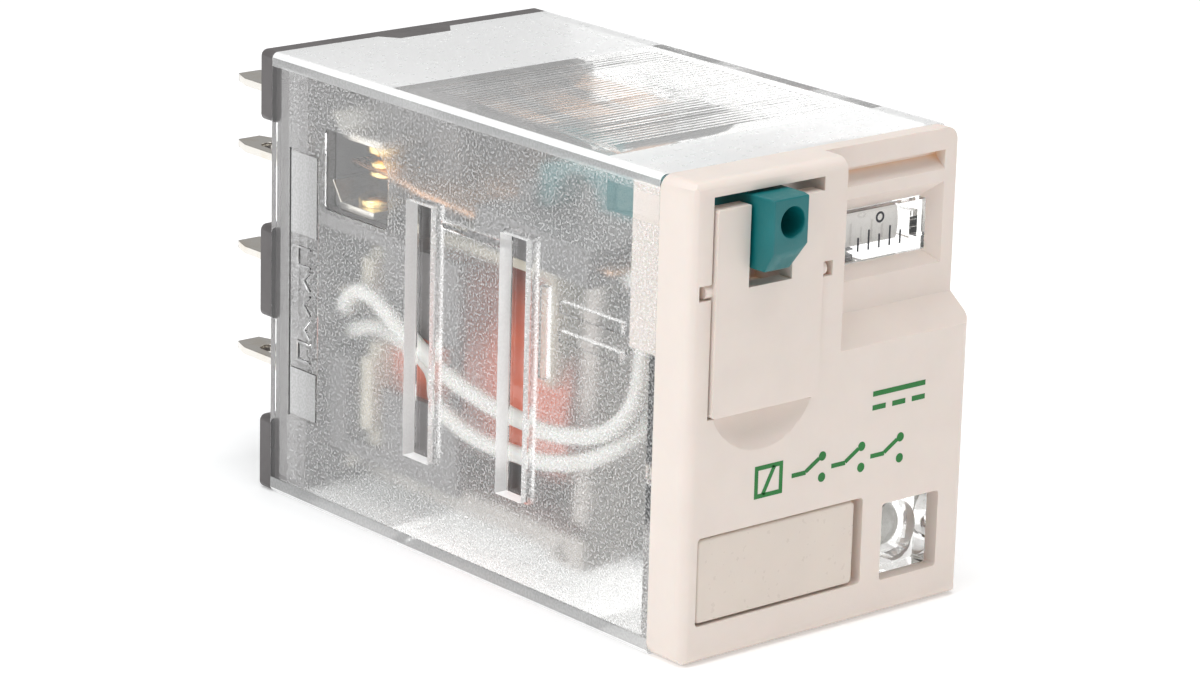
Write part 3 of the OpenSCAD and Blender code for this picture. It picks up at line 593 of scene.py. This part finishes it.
def on_grip(edge):
    c = middle(edge)
    return at_end(c.z / MM, RIDGE_REACH) and between(depth_of(c), GRIP_DEPTH) and abs(c.x / MM) <= GRIP_WIDTH


def on_surface(edge):
    """Whether an edge of the cover lies on its outer surface, apart from the fine marks of the strip."""
    c = middle(edge)
    x, d, z = abs(c.x / MM), depth_of(c), c.z / MM
    if within(d, z, grown(STRIP_DEPTH, MARGIN), grown(STRIP_HEIGHT, MARGIN)):
        return False
    return x > WIDE - CHANNEL_DEEP - SKIN or at_end(z, SKIN) or d < WINDOW_PARTS


def broad_side_skin(x, d, z):
    """The finish of a flat face of a broad side."""
    raised = x > WIDE - SKIN
    if within(d, z, STRIP_DEPTH, STRIP_HEIGHT):
        return RAISED if raised else FROSTED
    if not between(z, FROST_HEIGHT):
        return RAISED
    frosted = raised and between(d, FROST_DEPTH) and not within(d, z, PATCH_DEPTH, PATCH_HEIGHT)
    return FROSTED if frosted else CLEAR


def cover_skin(face):
    """Which finish of the cover a face has."""
    c, n = face.calc_center_median(), face.normal
    x, d, z = abs(c.x / MM), depth_of(c), c.z / MM
    looks_out = n.x * c.x > 0
    if looks_out and abs(n.x) > 0.95 and x > WIDE - STRIP_SUNK - SKIN:
        return broad_side_skin(x, d, z)
    if looks_out and abs(n.y) < 0.5 and x > WIDE - ROUND and at_end(z, ROUND):
        return HAZY
    if x > WIDE - CHANNEL_DEEP and between(z, grown(CHANNEL_HEIGHT, MARGIN)) and abs(n.x) < 0.8:
        if any(between(d, grown(span, MARGIN)) for span in CHANNEL_DEPTHS):
            return HAZY
    if abs(n.z) > 0.3 and (z > TALL - END_REACH and n.z > 0 or z < END_REACH and n.z < 0):
        return BRIGHT_TOP if between(d, GRIP_FIELD) else FROSTED_TOP
    return CLEAR


def make_cover(paints):
    """The clear cover with rounded edges, and its textured fields split off as faces of their own."""
    bm = node_mesh("clear_cover")
    soften(bm, COVER_EDGE, lambda edge: on_surface(edge) and not on_grip(edge))
    borders = [(DEPTH, value) for value in FROST_DEPTH] + [(HEIGHT, value) for value in FROST_HEIGHT]
    borders += [(DEPTH, PATCH_DEPTH[1])] + [(HEIGHT, value) for value in PATCH_HEIGHT]
    for axis, value in borders:
        cut(bm, [f for f in bm.faces if on_broad_side(f)], axis, value)
    for value in GRIP_FIELD:
        cut(bm, [f for f in bm.faces if on_narrow_side(f)], DEPTH, value)
    for face in bm.faces:
        face.material_index = cover_skin(face)
    piece = add_piece("cover", bm, [paints[name] for name in COVER_PAINTS], "case")
    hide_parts("clear_cover")


# ---------- lead wires ----------


def make_wire(node, paints):
    """A lead wire as one still piece, cleaned up from its CAD node."""
    piece = add_piece(node + "_piece", node_mesh(node), paints[SLOT_OF[node]], None)
    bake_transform(piece)
    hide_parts(node)


# ---------- printed marks ----------

INK_THICK, INK_UNDER = 0.015, 0.004  # thickness of the ink, and how much of it is below the surface
RING_POINTS = 14


def ribbon(bm, points, width, depth, closed):
    """A printed line of that width through points given as (across, height), lying at a depth."""
    flat = [Vector(p) for p in points]
    count = len(flat)
    rows = []
    for i, p in enumerate(flat):
        before = flat[i - 1] if closed or i else None
        after = flat[(i + 1) % count] if closed or i < count - 1 else None
        ends = ((before, p), (p, after))
        lines = [(b - a).normalized() for a, b in ends if a is not None and b is not None]
        along = sum(lines, Vector((0, 0))).normalized()
        side = Vector((-along.y, along.x)) * (width / 2 / max(0.3, along.dot(lines[0])))
        corners = ((p + side, 0), (p - side, 0), (p - side, INK_THICK), (p + side, INK_THICK))
        rows.append([bm.verts.new(place(q.x, depth - lift, q.y)) for q, lift in corners])
    for i in range(count if closed else count - 1):
        a, b = rows[i], rows[(i + 1) % count]
        for k in range(4):
            bm.faces.new((a[k], a[(k + 1) % 4], b[(k + 1) % 4], b[k]))
    if not closed:
        bm.faces.new(rows[0][::-1])
        bm.faces.new(rows[-1])


def printed(name, marks, width, surface, paint):
    """Puts marks on the case, on a surface at that depth. A mark is its points and whether they close."""
    bm = bmesh.new()
    for points, closed in marks:
        ribbon(bm, points, width, surface + INK_UNDER, closed)
    bmesh.ops.recalc_face_normals(bm, faces=bm.faces)
    piece = add_piece(name, bm, paint, "case")


def line(*points):
    return points, False


def outline(*points):
    return points, True


def ring(x, z, radius):
    turns = [math.tau * k / RING_POINTS for k in range(RING_POINTS)]
    return outline(*[(x + radius * math.cos(t), z + radius * math.sin(t)) for t in turns])


def coil_sign(left, low, right, high):
    """The circuit symbol of a coil: a box with a slash."""
    box = outline((left, low), (right, low), (right, high), (left, high))
    return [box, line((left + 0.5, low + 0.05), (right - 0.5, high - 0.05))]


def changeover_sign(x, z):
    """The circuit symbol of a changeover contact: its lead, a moving arm and two fixed dots."""
    arm = line((x + 1.05, z + 0.05), (x + 2.0, z + 0.62))
    return [line((x, z), (x + 1.05, z)), arm, ring(x + 2.25, z + 0.72, 0.14), ring(x + 2.25, z - 0.5, 0.14)]


def direct_current_sign(left, high):
    """A bar over three dashes."""
    low = high - 0.8
    dashes = [line((left + 1.5 * k, low), (left + 1.5 * k + 1.0, low)) for k in range(3)]
    return [line((left, high), (left + 4.0, high)), *dashes]


def window_scale(left, low):
    """Five ticks, each second one longer, and a ring above the middle one."""
    ticks = [line((left + 0.8 * k, low), (left + 0.8 * k, low + 0.8 + 0.35 * (k % 2))) for k in range(5)]
    return ticks + [ring(left + 1.6, low + 1.75, 0.26)]


def make_prints(paints):
    circuit = coil_sign(-5.5, 8.9, -3.7, 10.5)
    for pole in range(3):
        circuit += changeover_sign(-2.9 + 2.95 * pole, 9.6)
    current, scale = direct_current_sign(3.0, 13.2), window_scale(3.6, 20.7)
    printed("circuit_print", circuit, 0.26, 0, paints["green_ink"])
    printed("current_print", current, 0.3, 0, paints["green_ink"])
    printed("window_print", scale, 0.13, WINDOW_FACE, paints["dark_ink"])


# ---------- the scene ----------

make_camera()
PAINTS = make_paints()
make_sky()
for lamp_name, lamp in LAMPS.items():
    make_light(lamp_name, **lamp)
make_floor()
set_light_paths()
make_cover(PAINTS)
make_prints(PAINTS)
for each in frame["nodes"]:
    if each.startswith("lead_wire"):
        make_wire(each, PAINTS)
    elif each != "clear_cover":
        refined(each, PAINTS[SLOT_OF[each]], edge_of(each))
